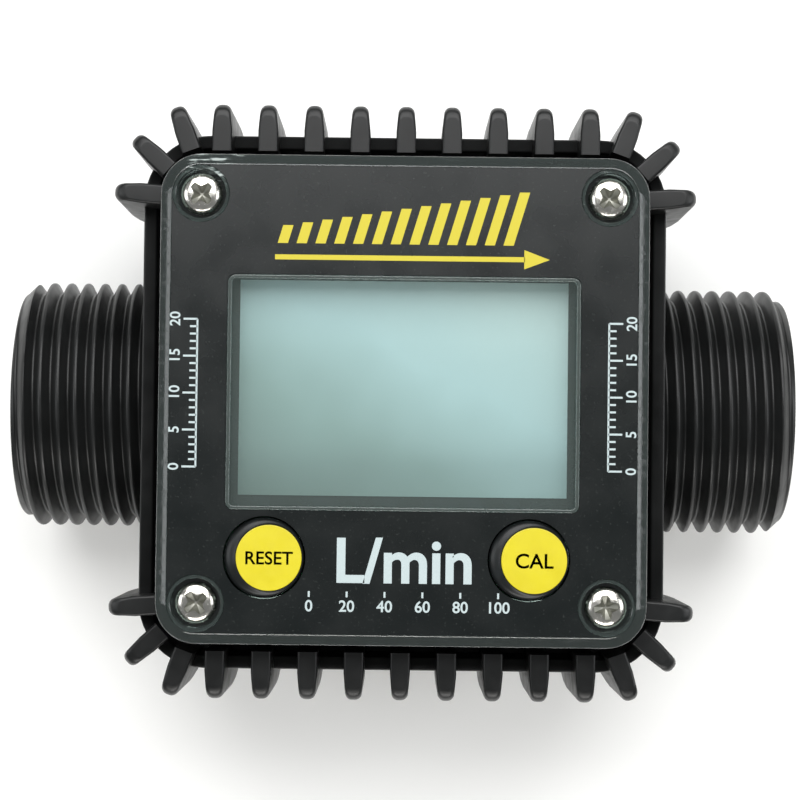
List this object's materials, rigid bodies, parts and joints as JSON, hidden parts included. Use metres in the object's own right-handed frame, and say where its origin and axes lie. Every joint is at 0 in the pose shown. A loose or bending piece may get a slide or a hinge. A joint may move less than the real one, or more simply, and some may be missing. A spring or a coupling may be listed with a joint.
{
  "type": "turbine flow meter",
  "caption": "In-line turbine flow meter with a square finned head, threaded pipe ends, a display under a clear cover and push buttons.",
  "frame": {"origin": "middle of the flat back that the meter rests on", "axes": "+X along the pipe from inlet to outlet, +Y up the display face, +Z out of the display"},
  "size_m": [0.103, 0.0754, 0.0543],
  "materials": {
    "board_green": "green solder mask",
    "body_plastic": "fine satin moulding, black",
    "boot_rubber": "satin",
    "bush_plastic": "self-lubricating bearing plastic",
    "cap_yellow": "yellow",
    "capacitor_tan": "ceramic",
    "carrier_plastic": "moulded, natural white",
    "case_plastic": "satin moulding, black",
    "cell_sleeve": "plain shrink sleeve",
    "chip_black": "moulded",
    "cover_clear": "clear polycarbonate",
    "crystal_can": "drawn can",
    "insert_brass": "turned",
    "label_film": "printed film, black",
    "lcd_film": "pale grey green, satin",
    "lcd_glass": "clear",
    "magnet_metal": "plated magnet",
    "plunger_plastic": "moulded",
    "reed_glass": "clear tube",
    "ring_steel": "spring steel",
    "rotor_plastic": "moulded, blue",
    "screw_nickel": "bright nickel plate",
    "seal_rubber": "smooth",
    "shaft_steel": "ground",
    "spring_nickel": "nickel plated",
    "switch_plastic": "moulded",
    "zebra_rubber": "layered"
  },
  "bodies": {
    "meter": {"buffer_capacitor": "capacitor_tan", "cal_switch": "switch_plastic", "cell_contacts": "spring_nickel", "cell_lower": "cell_sleeve", "cell_springs": "spring_nickel", "cell_upper": "cell_sleeve", "circuit_board": "board_green", "controller_chip": "chip_black", "cover_inserts": "insert_brass", "cover_screws": "screw_nickel", "face_label": "label_film", "front_cover": "cover_clear", "inlet_bush": "bush_plastic", "inlet_end": "body_plastic", "inlet_straightener": "carrier_plastic", "lcd_bezel": "case_plastic", "lcd_glass": "lcd_glass", "lcd_polariser": "lcd_film", "meter_body": "body_plastic", "module_case": "case_plastic", "module_gasket": "seal_rubber", "outlet_bush": "bush_plastic", "outlet_end": "body_plastic", "outlet_straightener": "carrier_plastic", "quartz_crystal": "crystal_can", "reed_switch": "reed_glass", "reset_switch": "switch_plastic", "retaining_ring": "ring_steel", "zebra_strips": "zebra_rubber"},
    "reset_button": {"reset_cap": "cap_yellow", "reset_boot": "boot_rubber", "reset_plunger": "plunger_plastic"},
    "cal_button": {"cal_cap": "cap_yellow", "cal_boot": "boot_rubber", "cal_plunger": "plunger_plastic"},
    "rotor": {"turbine_rotor": "rotor_plastic", "rotor_magnets": "magnet_metal", "rotor_shaft": "shaft_steel", "thrust_washers": "bush_plastic"}
  },
  "joints": [
    {"name": "reset_press", "type": "slide", "parent": "meter", "child": "reset_button", "axis": [0, 0, -1], "range_m": [0, 0.0008], "stiffness_N_per_m": 1500, "springref_m": -0.0004},
    {"name": "cal_press", "type": "slide", "parent": "meter", "child": "cal_button", "axis": [0, 0, -1], "range_m": [0, 0.0008], "stiffness_N_per_m": 1500, "springref_m": -0.0004},
    {"name": "rotor_spin", "type": "hinge", "parent": "meter", "child": "rotor", "pos_m": [0, 0, 0.0175], "axis": [1, 0, 0], "continuous": true}
  ]
}
